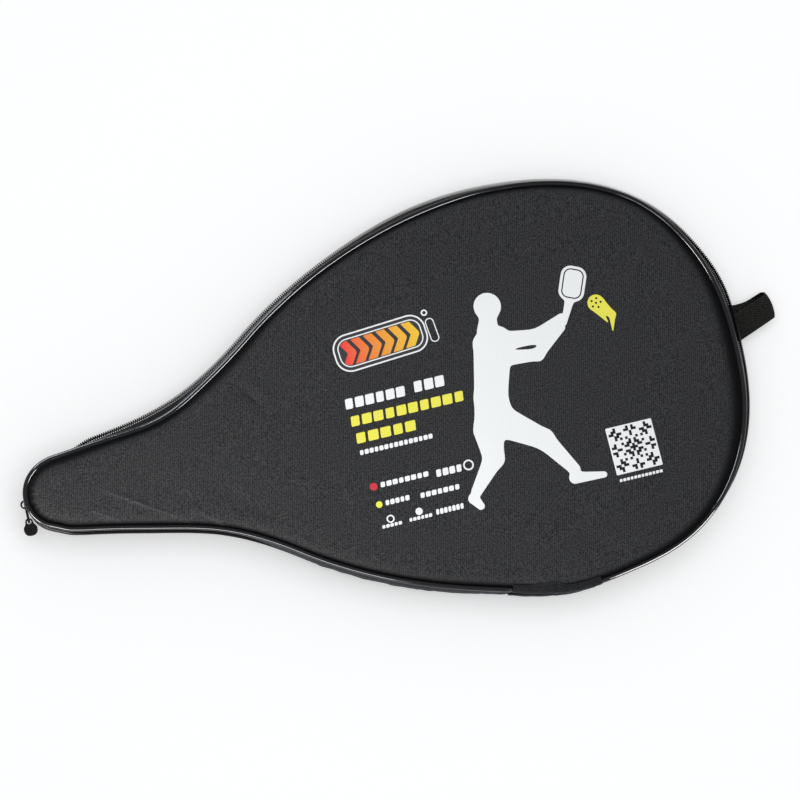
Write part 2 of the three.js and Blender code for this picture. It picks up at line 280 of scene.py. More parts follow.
def node(material, kind, **values):
    made = material.node_tree.nodes.new(kind)
    for key, value in values.items():
        if key in made.inputs:
            made.inputs[key].default_value = value
        else:
            setattr(made, key, value)
    return made


def link(source, target):
    source.id_data.links.new(source, target)


def shader_of(material):
    return material.node_tree.nodes["Principled BSDF"]


def grain_of(material, scale, roughness, detail=3.0):
    """Cloudy noise that is fixed to the object."""
    where = node(material, "ShaderNodeTexCoord")
    grain = node(material, "ShaderNodeTexNoise", Scale=scale, Detail=detail, Roughness=roughness)
    link(where.outputs["Object"], grain.inputs["Vector"])
    return grain.outputs["Fac"]


def color_by(material, value, span, colors):
    """Colour that runs from the first to the second as the value crosses its span."""
    ramp = node(material, "ShaderNodeValToRGB")
    for element, position, color in zip(ramp.color_ramp.elements, span, colors):
        element.position = position
        element.color = (*color, 1)
    link(value, ramp.inputs["Fac"])
    link(ramp.outputs["Color"], shader_of(material).inputs["Base Color"])
    return ramp.outputs["Color"]


def speckle_color(material, dark, light, scale):
    """Colour that wanders between two tones, as worn or fibrous surfaces do."""
    color_by(material, grain_of(material, scale, 0.6), (0.32, 0.68), (dark, light))


# A wave texture of scale 1 repeats after this many metres.
WAVE_PERIOD = 0.314

# The grain's fineness against the threads'; then, for gridded and for ribbed cloth, how far
# the gaps between threads darken it and where its darkest and palest colours lie.
GRAIN_SCALE = 1.35
GAP_SHARE = 0.30
GRAIN_SPAN = (0.40, 0.86)
RIB_SHARE = 0.11
RIB_SPAN = (0.41, 0.76)

# Turns of the threads: of the panel and its print, and of the hang loop's twill.
THREAD_TURN = 0.245
TWILL_TURN = 0.9
THREAD_PITCH = 0.0012
THREAD_RELIEF = 0.0004


def wave(material, where, coordinates, pitch, direction, turn):
    """Bands of one thread direction, `pitch` metres apart."""
    mapping = node(material, "ShaderNodeMapping")
    mapping.inputs["Rotation"].default_value[2] = turn
    bands = node(material, "ShaderNodeTexWave", Scale=WAVE_PERIOD / pitch, Distortion=0.0)
    bands.bands_direction = direction
    link(where.outputs[coordinates], mapping.inputs["Vector"])
    link(mapping.outputs["Vector"], bands.inputs["Vector"])
    return bands.outputs["Fac"]


def weave(material, pitch, strength, colors=None, coordinates="Object", turn=0.0, weft_gap=1,
          ribbed=False, shaded=False):
    """Raised threads with dark gaps, in columns when ribbed.

    weft_gap is the weft's pitch against the warp's. Shaded cloth is darkened or made paler by the painted
    shade and painted highlights stored on its mesh.
    """
    where = node(material, "ShaderNodeTexCoord")
    warp = wave(material, where, coordinates, pitch, "X", turn)
    weft = wave(material, where, coordinates, pitch * weft_gap, "Y", turn)
    cross = node(material, "ShaderNodeMath", operation="MULTIPLY")
    link(warp, cross.inputs[0])
    link(weft, cross.inputs[1])
    threads = warp if ribbed else cross.outputs[0]
    relief = node(material, "ShaderNodeBump", Strength=strength, Distance=THREAD_RELIEF)
    link(relief.outputs["Normal"], shader_of(material).inputs["Normal"])
    if not colors:
        link(threads, relief.inputs["Height"])
        return
    share = node(material, "ShaderNodeMath", operation="MULTIPLY_ADD")
    share.inputs[1].default_value = RIB_SHARE if ribbed else GAP_SHARE
    link(threads, share.inputs[0])
    link(grain_of(material, GRAIN_SCALE / pitch, 0.75), share.inputs[2])
    link(share.outputs[0], relief.inputs["Height"])
    color = color_by(material, share.outputs[0], RIB_SPAN if ribbed else GRAIN_SPAN, colors)
    if not shaded:
        return
    # Painted shade and painted highlights: the colour is scaled by the shade stored on the mesh.
    shade = node(material, "ShaderNodeAttribute", attribute_name="shade")
    scaled = node(material, "ShaderNodeVectorMath", operation="SCALE")
    link(color, scaled.inputs[0])
    link(shade.outputs["Fac"], scaled.inputs["Scale"])
    link(scaled.outputs[0], shader_of(material).inputs["Base Color"])


def cloth(name, dark, light, pitch, strength, coordinates="Object", **pattern):
    material = new_material(name, light, 0.82, specular=0.22)
    weave(material, pitch, strength, (dark, light), coordinates, **pattern)
    shader = shader_of(material)
    shader.inputs["Sheen Weight"].default_value = 0.10
    shader.inputs["Sheen Roughness"].default_value = 0.4
    shader.inputs["Sheen Tint"].default_value = (0.7, 0.8, 1.0, 1)
    return material


def gloss_vinyl():
    material = new_material("vinyl", (0.0025, 0.0025, 0.003), 0.10, specular=0.28)
    dents = node(material, "ShaderNodeBump", Strength=0.12, Distance=0.0006)
    link(grain_of(material, 160.0, 0.5, detail=2.0), dents.inputs["Height"])
    link(dents.outputs["Normal"], shader_of(material).inputs["Normal"])
    return material


def enamel():
    material = new_material("enamel", (0.006, 0.006, 0.007), 0.35, specular=0.25)
    speckle_color(material, (0.004, 0.004, 0.005), (0.009, 0.009, 0.010), 400.0)
    return material


def soft_rubber():
    material = new_material("soft_rubber", (0.005, 0.005, 0.006), 0.45, specular=0.16)
    speckle_color(material, (0.003, 0.003, 0.004), (0.007, 0.007, 0.008), 900.0)
    return material


def foam_sheet():
    material = new_material("foam_sheet", (0.06, 0.06, 0.065), 0.9, specular=0.2)
    speckle_color(material, (0.04, 0.04, 0.045), (0.08, 0.08, 0.085), 2200.0)
    return material


def ink(name, color):
    """Screen print: the cloth's threads show through it as a fine relief."""
    material = new_material(name, color, 0.55, specular=0.3)
    weave(material, THREAD_PITCH, 0.15, turn=THREAD_TURN)
    return material


def badge_ink():
    """Red that runs into yellow along the badge."""
    material = ink("badge_ink", (0.8, 0.1, 0.05))
    where = node(material, "ShaderNodeTexCoord")
    parts = node(material, "ShaderNodeSeparateXYZ")
    span = node(material, "ShaderNodeMapRange")
    span.inputs["From Min"].default_value = -0.030
    span.inputs["From Max"].default_value = 0.018
    link(where.outputs["Object"], parts.inputs[0])
    link(parts.outputs["X"], span.inputs["Value"])
    color_by(material, span.outputs["Result"], (0, 1), ((0.86, 0.06, 0.06), (0.9, 0.62, 0.05)))
    return material


MATERIALS = {
    "panel": cloth(
        "panel_cloth", (0.008, 0.008, 0.009), (0.066, 0.067, 0.070), THREAD_PITCH, 0.7,
        turn=THREAD_TURN, ribbed=True, shaded=True,
    ),
    "gusset": cloth(
        "gusset_cloth", (0.005, 0.005, 0.006), (0.032, 0.033, 0.036), THREAD_PITCH, 0.6, "UV",
    ),
    "lining": cloth("lining_cloth", (0.010, 0.010, 0.011), (0.030, 0.030, 0.032), 0.0007, 0.25),
    "tape": cloth(
        "tape_cloth", (0.003, 0.003, 0.004), (0.018, 0.019, 0.021), 0.0009, 0.6, "UV", weft_gap=2,
    ),
    "webbing": cloth(
        "webbing", (0.003, 0.003, 0.003), (0.042, 0.040, 0.037), 0.0013, 1.0, "UV",
        turn=TWILL_TURN, shaded=True,
    ),
    "thread": new_material("thread", (0.02, 0.02, 0.022), 0.6, specular=0.3),
    "coil": new_material("coil_nylon", (0.006, 0.006, 0.007), 0.5, specular=0.25),
    "vinyl": gloss_vinyl(),
    "enamel": enamel(),
    "rubber": soft_rubber(),
    "foam": foam_sheet(),
    "white": ink("white_ink", (0.9, 0.92, 0.93)),
    "yellow": ink("yellow_ink", (0.86, 0.82, 0.10)),
    "red": ink("red_ink", (0.62, 0.04, 0.06)),
    "black": ink("black_ink", (0.012, 0.012, 0.013)),
    "grey": ink("grey_ink", (0.045, 0.045, 0.05)),
    "badge": badge_ink(),
}

# ---------------- mesh helpers


def make_object(name, vertices, faces, material, uvs=None, crease=40, closed=True):
    """A smooth-shaded mesh object; a closed one gets its faces turned outwards."""
    mesh = bpy.data.meshes.new(name)
    mesh.from_pydata(np.asarray(vertices).tolist(), [], faces)
    if uvs is not None:
        layer = mesh.uv_layers.new(name="UVMap")
        corners = np.empty(len(mesh.loops), int)
        mesh.loops.foreach_get("vertex_index", corners)
        layer.data.foreach_set("uv", np.asarray(uvs)[corners].ravel())
    bm = bmesh.new()
    bm.from_mesh(mesh)
    bmesh.ops.remove_doubles(bm, verts=bm.verts, dist=1e-6)
    if closed:
        bmesh.ops.recalc_face_normals(bm, faces=bm.faces)
    bm.to_mesh(mesh)
    bm.free()
    mesh.polygons.foreach_set("use_smooth", [True] * len(mesh.polygons))
    mesh.set_sharp_from_angle(angle=math.radians(crease))
    mesh.materials.append(MATERIALS[material])
    made = bpy.data.objects.new(name, mesh)
    bpy.context.scene.collection.objects.link(made)
    return made


def grid_faces(rings, across, closed=False, first=0):
    """Quads between rings of `across` points; the last ring meets the first when closed."""
    faces = []
    for i in range(rings if closed else rings - 1):
        for j in range(across):
            a = first + i * across + j
            b = first + i * across + (j + 1) % across
            c = first + ((i + 1) % rings) * across + (j + 1) % across
            d = first + ((i + 1) % rings) * across + j
            faces.append((a, b, c, d))
    return faces


def sweep(name, section, places, material, shift, closed_rim=False):
    """A closed section carried along the rim.

    section gives (inset, height) points for a place; shift is a kind of shift_inwards.
    """
    points, inward = rim_at(places)
    sections = np.array([section(place) for place in places])
    across = sections.shape[1]
    sections[:, :, 0] += shift_inwards(shift, places, sections[:, :, 1])
    flat = points[:, None, :] + inward[:, None, :] * sections[:, :, :1]
    vertices = np.concatenate([flat, sections[:, :, 1:]], 2).reshape(-1, 3)
    steps = np.hypot(*np.diff(sections[0], axis=0, append=sections[0][:1]).T)
    run = np.r_[0, np.cumsum(steps)][:-1]
    uvs = np.stack([np.repeat(places, across), np.tile(run, len(places))], 1) * MM
    faces = grid_faces(len(places), across, closed_rim)
    if not closed_rim:
        last = (len(places) - 1) * across
        faces.append(tuple(range(across)))
        faces.append(tuple(range(last, last + across)))
    return make_object(name, to_row(vertices), faces, material, uvs)


def stretch(start, end, step):
    return np.linspace(start, end, max(2, round((end - start) / step)) + 1)


def flip(section):
    """The same section on the lid, mirrored in the middle plane."""
    turned = np.array(section, float)
    turned[..., 1] = THICKNESS - turned[..., 1]
    return turned


def on_side(section, lid):
    return (lambda place: flip(section(place))) if lid else section


def band(outer, thickness):
    """A closed section from a line of outer (inset, height) points."""
    outer = np.array(outer, float)
    along = unit(np.gradient(outer, axis=0))
    inner = outer + thickness * np.stack([along[:, 1], -along[:, 0]], 1)
    return np.vstack([outer, inner[::-1]])


def oval(inset, height, halves, count, powers=(1, 1)):
    """A closed section round a middle; powers below 1 square its corners."""
    turns = np.arange(count) * 2 * math.pi / count
    way = np.stack([np.cos(turns), np.sin(turns)], 1)
    return np.array([inset, height]) + halves * np.sign(way) * np.abs(way) ** powers


def rings_across(along, beside, sides):
    """Unit circles square to each unit direction, started from what lies beside it."""
    side = unit(np.cross(along, beside))[:, None]
    other = np.cross(along, side[:, 0])[:, None]
    turns = (np.arange(sides) * 2 * math.pi / sides)[None, :, None]
    return np.cos(turns) * side + np.sin(turns) * other


STITCH_LENGTH = 2.4
STITCH_GAP = 0.7
STITCH_RADIUS = 0.16
STITCH_SIDES = 6

# The rings of one stitch: from its start or end, shift and size in radii.
STITCH_RINGS = ((0, 0, 0.45), (0, 0.5, 1), (1, -0.5, 1), (1, 0, 0.45))

# A direction that no stitch runs in.
ASKEW = (0.3, 0.2, 0.93)


def stitch_row(name, body, inset, height, start, end, shift):
    """A row of short round-ended threads along the rim."""
    begin = np.arange(start, end - STITCH_LENGTH, STITCH_LENGTH + STITCH_GAP)
    ends = []
    for places in (begin, begin + STITCH_LENGTH):
        points, inward = rim_at(places)
        level = np.full(len(places), float(height))
        moved = inset + shift_inwards(shift, places, level)
        ends.append(np.c_[points + inward * moved[:, None], level])
    along = unit(ends[1] - ends[0])
    ring = STITCH_RADIUS * rings_across(along, ASKEW, STITCH_SIDES)
    rows = []
    for which, move, size in STITCH_RINGS:
        middle = ends[which] + along * move * STITCH_RADIUS
        rows.append(middle[:, None] + ring * size)
    across, rings = STITCH_SIDES, len(rows)
    faces = []
    for index in range(len(begin)):
        first = index * rings * across
        faces += grid_faces(rings, across, first=first)
        faces.append(tuple(range(first, first + across)))
        faces.append(tuple(range(first + (rings - 1) * across, first + rings * across)))
    vertices = np.stack(rows, 1).reshape(-1, 3)
    row = make_object(name, to_row(vertices), faces, "thread")
    finish_piece(row, body, "tape_cloth")


def add_modifier(target, kind, **values):
    modifier = target.modifiers.new(kind.lower(), kind)
    for key, value in values.items():
        setattr(modifier, key, value)
    return modifier


def store_shade(piece, values):
    piece.data.attributes.new("shade", "FLOAT", "POINT").data.foreach_set("value", values)


def finish_piece(piece, body, slot, *replaced):
    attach(piece, body)
    if replaced:
        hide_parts(*replaced)
    return piece


# ---------------- padded panels

ROLL_HEIGHT = 4.3
ROLL_LENGTH = 2.6
ROLL_SHARPNESS = 1.5
CROWN_HEIGHT = 1.3
CROWN_LENGTH = 38.0

# The back rests this far above the floor at its lowest.
REST_HEIGHT = 0.25

# Unevenness of the padding: sizes in x and y, and height. Puckers keep near the seam.
BROAD_SIZES, BROAD_HEIGHT = (48, 40), 0.45
SMALL_SIZES, SMALL_HEIGHT = (15, 15), 0.10
PUCKER_SIZES, PUCKER_HEIGHT = (5.5, 5.5), 0.35
PUCKER_REACH = 3.5
SOFT_FROM = 6.0

# Where the panel rolls down to the seam more gently: place, half length, extra length.
SLOW_ROLLS = [
    (20, 50, 1.6),
    (160, 60, 1.2),
    (490, 40, 3.0),
    (580, 50, 5.0),
    (650, 35, 2.0),
]

# Small gathers in the cloth round the handle tip.
GATHER_PITCH = 4.7
GATHER_DEPTH = 1.3
GATHER_REACH = 21.0

# Soft folds: start, end, half width and height, on the front panel.
FOLDS = [
    ((-170, -3), (-124, -34), 1.4, 0.8),
    ((-178, -13.5), (-163, -24), 1.2, 0.5),
    ((-150, 2), (-118, -24), 3.5, -0.45),
    ((-122, -26), (-88, -56), 2.2, 0.6),
    ((-110, -14), (-78, -42), 5.0, -0.45),
    ((-82, 38), (-69, 21), 1.6, -0.8),
    ((-78, 43), (-64, 25), 2.6, 0.45),
    ((-195, 9), (-176, 12), 2.2, 0.5),
    ((-60, -62), (-20, -50), 4.0, 0.4),
]

# Painted shade along the rolled edge and in the groove by the seam, where the cloth turns away from the
# light: its usual width, and where that width changes (place, half length, extra width), and how much
# colour is left in it.
EDGE_SHADE = 2.8
EDGE_SHADE_CHANGES = [
    (40, 30, 2.0),
    (150, 30, 2.4),
    (565, 95, 5.0),
    (918, 140, -0.8),
]
EDGE_SHADE_COLOR = 0.08

# The share of that width where the painted shade starts to fade, and where it has gone.
EDGE_SHADE_FADE = (0.3, 1.25)

# Painted highlights along sharp creases, as if their ridges caught the light: start and end.
CREASES = [((-170, -3), (-124, -34)), ((-178, -13.5), (-163, -24)), ((-122, -26), (-100, -46))]
CREASE_HALF = 0.8
CREASE_HIGHLIGHT = 0.5

SKIN_THICKNESS = 0.9

# The foam keeps a gap under the cloth's outside, and its faces lie at these depths.
FOAM_INSET = 9.5
FOAM_GAP = 1.2
FOAM_DEPTHS = (1.4, 5.5)
FOAM_ROUNDING = 6.0

LINING_INSET = 8.5
LINING_DEPTH = 6.7
LINING_THICKNESS = 0.6

# Where the rays from the head's rim meet on the long axis.
HEAD_MIDDLE = 108.0

# The two halves: name, body, and whether it is the lid's.
SIDES = (("back", "base", False), ("front", "lid", True))


def fold_height(points, fold):
    start, end, half, height = fold
    start, end = np.array(start, float), np.array(end, float)
    run = end - start
    share = ((points - start) @ run) / (run @ run)
    nearest = start + np.clip(share, 0, 1)[:, None] * run
    gap = np.hypot(*(points - nearest).T)
    fade = np.clip(1.25 - (2 * share - 1) ** 2, 0, 1)
    return height * np.exp(-((gap / half) ** 2)) * fade


def roll_length(places):
    return ROLL_LENGTH + wander(places, SLOW_ROLLS)


def seam_depth(points):
    """Distance of case points from the gathered seam, and their places round the rim."""
    distance, places = nearest_rim(points)
    depth = distance - PANEL_INSET - seam_shift(places)
    gathers = np.abs(np.sin(math.pi * places / GATHER_PITCH)) * bump(places, 0, GATHER_REACH)
    depth -= GATHER_DEPTH * gathers
    return np.maximum(depth, 0), places


def panel_rise(points, folds, seed):
    """Height of a panel's outside above its seam, at case points."""
    depth, places = seam_depth(points)
    rise = ROLL_HEIGHT * (1 - np.exp(-((depth / roll_length(places)) ** ROLL_SHARPNESS)))
    rise += CROWN_HEIGHT * (1 - np.exp(-((depth / CROWN_LENGTH) ** 2)))
    soft = 1 - np.exp(-depth / SOFT_FROM)
    rise += soft * BROAD_HEIGHT * ripples(points, BROAD_SIZES, seed)
    rise += soft * SMALL_HEIGHT * ripples(points, SMALL_SIZES, seed + 7)
    at_seam = np.exp(-depth / PUCKER_REACH) * np.clip(depth / 0.8, 0, 1)
    rise += at_seam * PUCKER_HEIGHT * ripples(points, PUCKER_SIZES, seed + 3)
    for fold in folds:
        rise += soft * fold_height(points, fold)
    return rise


def outside(points, lid):
    """How far a half's outer face lies in from THICKNESS (the lid) or from the floor."""
    if lid:
        return SEAM_HEIGHT - panel_rise(points, FOLDS, 1.0)
    return np.maximum(SEAM_HEIGHT - panel_rise(points, [], 9.0), REST_HEIGHT)


def axis_points(points):
    """The point on the case's long axis that each rim point's ray runs to."""
    share = (points[:, 0] + HALF_LENGTH) / (2 * HALF_LENGTH)
    reach = HANDLE_CENTRE[0] + share * (HEAD_MIDDLE - HANDLE_CENTRE[0])
    return np.stack([reach, np.zeros(len(points))], 1)


def leaf_points(inset, step, rings, bias, follow):
    """A grid of points that fills the outline: rings from the rim to the long axis."""
    places = np.linspace(0, RIM_LENGTH, round(RIM_LENGTH / step), endpoint=False)
    points, inward = rim_at(places)
    shift = shift_inwards("seam" if follow else "binding", places, places)
    edge = points + inward * (inset + shift)[:, None]
    middle = axis_points(points)
    share = (np.linspace(0, 1, rings) ** bias)[:, None, None]
    return (edge[None] + share * (middle - edge)[None]).reshape(-1, 2), len(places)


def leaf(name, lid, inset, outer, inner, material, step=2.6, rings=26, bias=1.5, follow=False):
    """A closed pad that fills one half, between two faces measured as outside() is."""
    points, across = leaf_points(inset, step, rings, bias, follow)
    near, far = outer(points), inner(points)
    top, bottom = (THICKNESS - near, THICKNESS - far) if lid else (far, near)
    count = len(points)
    faces = grid_faces(rings, across)
    faces += [tuple(reversed([v + count for v in face])) for face in faces]
    for j in range(across):
        k = (j + 1) % across
        faces.append((j, k, k + count, j + count))
    vertices = np.vstack([np.c_[points, top], np.c_[points, bottom]])
    return make_object(name, to_row(vertices), faces, material, crease=50)


def shade_cloth(piece, creases):
    """Stores how much of its colour the cloth shows at each point: painted shade along the rolled edge and
    the seam's groove, and painted highlights along the creases.
    """
    points = np.array([tuple(v.co)[:2] for v in piece.data.vertices]) / MM - CASE_ORIGIN
    depth, places = seam_depth(points)
    width = EDGE_SHADE + wander(places, EDGE_SHADE_CHANGES)
    # Painted shade near the seam, where the rolled edge turns from the light.
    kept = EDGE_SHADE_COLOR + (1 - EDGE_SHADE_COLOR) * smoothstep(depth / width, *EDGE_SHADE_FADE)
    # Painted highlights along the creases.
    for start, end in creases:
        kept += fold_height(points, (start, end, CREASE_HALF, CREASE_HIGHLIGHT))
    store_shade(piece, kept)


def panel_skins():
    """Woven cloth; the front's mesh is finer, because its folds are seen."""
    for side, body, lid in reversed(SIDES):
        skin = leaf(
            f"{side}_cloth", lid, PANEL_INSET, lambda p: outside(p, lid),
            lambda p: outside(p, lid) + SKIN_THICKNESS, "panel",
            step=1.4 if lid else 2.2, rings=84 if lid else 44, bias=1.7, follow=True,
        )
        # Painted shade along the rolled edge, and on the front painted highlights along its creases.
        shade_cloth(skin, CREASES if lid else [])
        finish_piece(skin, body, "woven_cloth", f"{side}_panel")


def foam_pads():
    """Foam sheet with a rounded rim, between skin and lining."""
    def rounding(points):
        depth = np.clip((nearest_rim(points)[0] - FOAM_INSET) / FOAM_ROUNDING, 0, 1)
        return 1 - np.sqrt(np.clip(1 - (1 - depth) ** 2, 0, 1))

    outermost, innermost = FOAM_DEPTHS
    for side, body, lid in reversed(SIDES):
        pad = leaf(
            f"{side}_foam_pad", lid, FOAM_INSET,
            lambda p: np.maximum(outside(p, lid) + FOAM_GAP, outermost) + 2.0 * rounding(p),
            lambda p: innermost - 0.6 * rounding(p), "foam",
        )
        finish_piece(pad, body, "foam_sheet", f"{side}_foam")


def lining_depth(points, seed):
    """How far in a lining's inner face lies, as outside() measures: soft, tucked at the rim."""
    depth = np.maximum(nearest_rim(points)[0] - LINING_INSET, 0)
    waves = 0.25 * ripples(points, (30, 24), seed) + 0.06 * ripples(points, (9, 9), seed)
    return LINING_DEPTH + waves * (1 - np.exp(-depth / 8)) - 0.5 * np.exp(-depth / 3)


def linings():
    for side, body, lid in reversed(SIDES):
        seed = 21.0 if lid else 33.0
        lining = leaf(
            f"{side}_lining_cloth", lid, LINING_INSET,
            lambda p: lining_depth(p, seed) - LINING_THICKNESS,
            lambda p: lining_depth(p, seed), "lining", step=1.8, rings=36,
        )
        finish_piece(lining, body, "lining_cloth", f"{side}_lining")


# ---------------- rim


def piping_section(place):
    """Round vinyl piping, slightly uneven, that dives under the hinge cover at each end."""
    beyond = min(abs(place - COVER_END), abs(place - COVER_START - RIM_LENGTH))
    dive = math.exp(-((beyond / 3.0) ** 2))
    radius = PIPING_RADIUS * (1 + 0.03 * ripple(place, 9, 5) - 0.25 * dive)
    inset = PIPING_INSET + 0.10 * ripple(place, 22, 0.3) + 0.4 * dive
    return oval(inset, PIPING_HEIGHT + 0.3 * dive, (radius, radius), 16)


def rim_piece(half, kind, section, places, material, shift, slot, replaced, closed_rim=False):
    """A swept piece of one half, mirrored for the lid."""
    side, body, lid = half
    placed = on_side(section, lid)
    piece = sweep(f"{side}_{kind}", placed, places, material, shift, closed_rim)
    finish_piece(piece, body, slot, f"{side}_{replaced}")


def pipings():
    places = stretch(COVER_END - 2, RIM_LENGTH + COVER_START + 2, 1.6)
    for half in SIDES:
        rim_piece(half, "piping_tube", piping_section, places, "vinyl", "seam", "vinyl_piping", "piping")


BINDING_MIDDLE = (9.4, 7.3)
BINDING_HALVES = (1.15, 2.2)
BINDING_STITCHES = (10.7, 8.6)


def binding_section(place):
    """Binding tape folded over the seam allowance inside the rim."""
    inset, height = BINDING_MIDDLE
    return oval(inset + 0.25 * ripple(place, 14, 2), height, BINDING_HALVES, 14, (0.6, 0.5))


def bindings():
    places = np.linspace(0, RIM_LENGTH, 540, endpoint=False)
    for half in SIDES:
        side, body, lid = half
        rim_piece(
            half, "binding_tape", binding_section, places, "tape", "binding", "tape_cloth",
            "seam_binding", closed_rim=True,
        )
        inset, height = flip(BINDING_STITCHES) if lid else BINDING_STITCHES
        stitch_row(f"{side}_binding_stitches", body, inset, height, 0, RIM_LENGTH, "binding")


# The zip tape's line from the seam out to the coil, and its two rows of stitches.
TAPE_LINE = [
    (6.6, 4.6), (5.9, 5.7), (5.1, 7.2), (4.3, 8.9), (3.7, 10.4), (3.2, 11.8), (2.95, 13.4),
    (2.9, 15.35),
]
TAPE_THICKNESS = 0.55
TAPE_STITCHES = ((3.35, 11.0), (4.75, 7.7))


def tape_section(place):
    """Woven zip tape from the seam out to the coil, a little puckered."""
    line = np.array(TAPE_LINE)
    line[2:6, 0] += 0.22 * ripple(place, 11, 8) * np.array([0.7, 1.0, 1.0, 0.6])
    return band(line, TAPE_THICKNESS)


def zip_tapes():
    places = stretch(-TIP_SEAM, ZIP_END, 1.8)
    for half in SIDES:
        side, body, lid = half
        rim_piece(half, "tape", tape_section, places, "tape", "wall", "tape_cloth", "zip_tape")
        for row, (inset, height) in enumerate(flip(TAPE_STITCHES) if lid else TAPE_STITCHES):
            stitch_row(f"{side}_tape_stitches_{row}", body, inset, height, -8, ZIP_END - 2, "wall")


# The coil: its middle on the back half, its halves, its wire, and how finely it is drawn.
COIL_MIDDLE = (1.45, 14.55)
COIL_HALVES = (1.0, 1.75)
WIRE_RADIUS = 0.32
TURN_POINTS = 12
WIRE_SIDES = 5


def helix(start, end, height, phase):
    """Coil of nylon wire wound along the rim."""
    count = round((end - start) / COIL_PITCH * TURN_POINTS)
    turn = np.arange(count) * 2 * math.pi / TURN_POINTS + phase
    places = start + np.arange(count) * COIL_PITCH / TURN_POINTS
    points, inward = rim_at(places)
    heights = height + COIL_HALVES[1] * np.sin(turn)
    insets = COIL_MIDDLE[0] + COIL_HALVES[0] * np.cos(turn) + wall_shift(places, heights)
    path = np.c_[points + inward * insets[:, None], heights]
    rim_along = np.c_[-inward[:, 1], inward[:, 0], np.zeros(count)]
    ring = rings_across(unit(np.gradient(path, axis=0)), rim_along, WIRE_SIDES)
    vertices = (path[:, None] + WIRE_RADIUS * ring).reshape(-1, 3)
    faces = grid_faces(count, WIRE_SIDES)
    faces.append(tuple(range(WIRE_SIDES)))
    faces.append(tuple(range(len(vertices) - WIRE_SIDES, len(vertices))))
    return vertices, faces


def zip_coils():
    """The halves' turns lie between each other; the front coil starts past the slider."""
    starts = {"back": -3.0, "front": 6.6}
    for side, body, lid in SIDES:
        height = THICKNESS - COIL_MIDDLE[1] if lid else COIL_MIDDLE[1]
        vertices, faces = helix(starts[side], ZIP_END - 4, height, math.pi if lid else 0)
        piece = make_object(f"{side}_coil", to_row(vertices), faces, "coil")
        finish_piece(piece, body, "nylon_coil", f"{side}_zip_coil")


# The cover's line over the rim, how far its inner points move at the widest, and how far
# the widening spreads towards the handle and towards the zip.
COVER_LINE = [
    (8.2, 2.2), (7.5, 2.1), (6.6, 1.95), (5.6, 1.95), (4.6, 2.3), (3.9, 3.1), (3.6, 4.2),
    (3.8, 5.6), (4.3, 6.9),
]
COVER_WIDENING = [(2.4, -1.5), (1.7, -1.0), (0.8, -0.4)]
SPREAD_TO_HANDLE = 13.0
SPREAD_TO_ZIP = 3.5
STRIP_THICKNESS = 0.6


def cover_section(place):
    """Cloth strip over the gap in the piping; it widens inwards to a tuck at its middle."""
    line = np.array(COVER_LINE)
    along = place - (COVER_START + COVER_END) / 2
    tuck = math.exp(-((along / 1.3) ** 2))
    spread = SPREAD_TO_HANDLE if along > 0 else SPREAD_TO_ZIP
    wide = math.exp(-((along / spread) ** 2))
    line[:3] += wide * np.array(COVER_WIDENING)
    line[1:7, 0] += 0.5 * tuck + 0.25 * ripple(place, 7, 4)
    line[1:6, 1] += 0.5 * tuck
    return band(line, STRIP_THICKNESS)


def hinge_covers():
    places = stretch(COVER_START - 1, COVER_END + 1, 0.8)
    for half in SIDES:
        rim_piece(
            half, "cover_cloth", cover_section, places, "gusset", "seam", "woven_cloth", "hinge_cover",
        )


# The hinge cloth's line from the back's seam out to the middle, and its middle; the lid's half is the same
# line mirrored.
GUSSET_HALF = [(6.6, 4.6), (5.8, 5.8), (4.9, 7.4), (4.0, 9.2), (3.3, 11.2), (2.8, 13.2)]
GUSSET_MIDDLE = (2.6, MIDDLE)


def gusset_section(place):
    """Hinge cloth from seam to seam, bulging a little, with soft puckers."""
    line = np.vstack([GUSSET_HALF, [GUSSET_MIDDLE], flip(GUSSET_HALF)[::-1]])
    bow = np.sin(np.linspace(0, math.pi, len(line)))
    line[:, 0] += (0.55 * ripple(place, 9, 11) + 0.3 * ripple(place, 3.5, 1)) * bow
    return band(line, STRIP_THICKNESS)


def hinge_gusset():
    places = stretch(ZIP_END + 0.3, RIM_LENGTH - TIP_SEAM - 0.3, 1.5)
    piece = sweep("gusset_cloth", gusset_section, places, "gusset", "wall")
    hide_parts("hinge_gusset")
    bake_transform(piece)


# ---------------- slider, puller, loop

# Pieces that keep their CAD shape, with the radius of their softened edges.
MOULDED = {
    "top_stop_back": (0.25, "enamel"),
    "top_stop_front": (0.25, "enamel"),
    "slider_body": (0.3, "enamel"),
    "slider_inner_plate": (0.3, "enamel"),
    "slider_bail": (0.25, "enamel"),
    "zip_puller": (0.3, "enamel"),
    "pull_tab": (0.55, "rubber"),
}
STOP_MIDDLE = (1.75, 13.8)
STOP_HALVES = (1.25, 1.2)


def moulded_pieces():
    for name, (radius, material) in MOULDED.items():
        shown = frame["nodes"][name]
        shown.data.materials.clear()
        shown.data.materials.append(MATERIALS[material])
        add_modifier(shown, "BEVEL", width=radius * MM, segments=3, limit_method="ANGLE")


def bottom_stop():
    """The rounded stop at the zip's end follows the wall it is clamped on."""
    places = stretch(ZIP_END - 3.4, ZIP_END - 1.0, 0.3)
    section = oval(*STOP_MIDDLE, STOP_HALVES, 16, (0.5, 0.5))
    piece = sweep("bottom_stop_clip", lambda place: section, places, "enamel", "wall")
    finish_piece(piece, "base", "black_enamel", "bottom_stop")


# Hang loop, seen from above: the middle of its fold, the direction its legs run in, how
# far the fold is skewed, how long the legs are, and how far the lower leg lies to the
# zipped side at the fold and at the seam.
LOOP_FOLD = np.array([240.1, 14.3])
LOOP_TURN = math.radians(20)
LOOP_SKEW = math.radians(11.5)
LOOP_REACH = 27.3
LOOP_BEND = 1.3
LOOP_SLIDE = (2.6, 7.5)
LOOP_BULGE = 1.3
LOOP_OPEN = 1.5

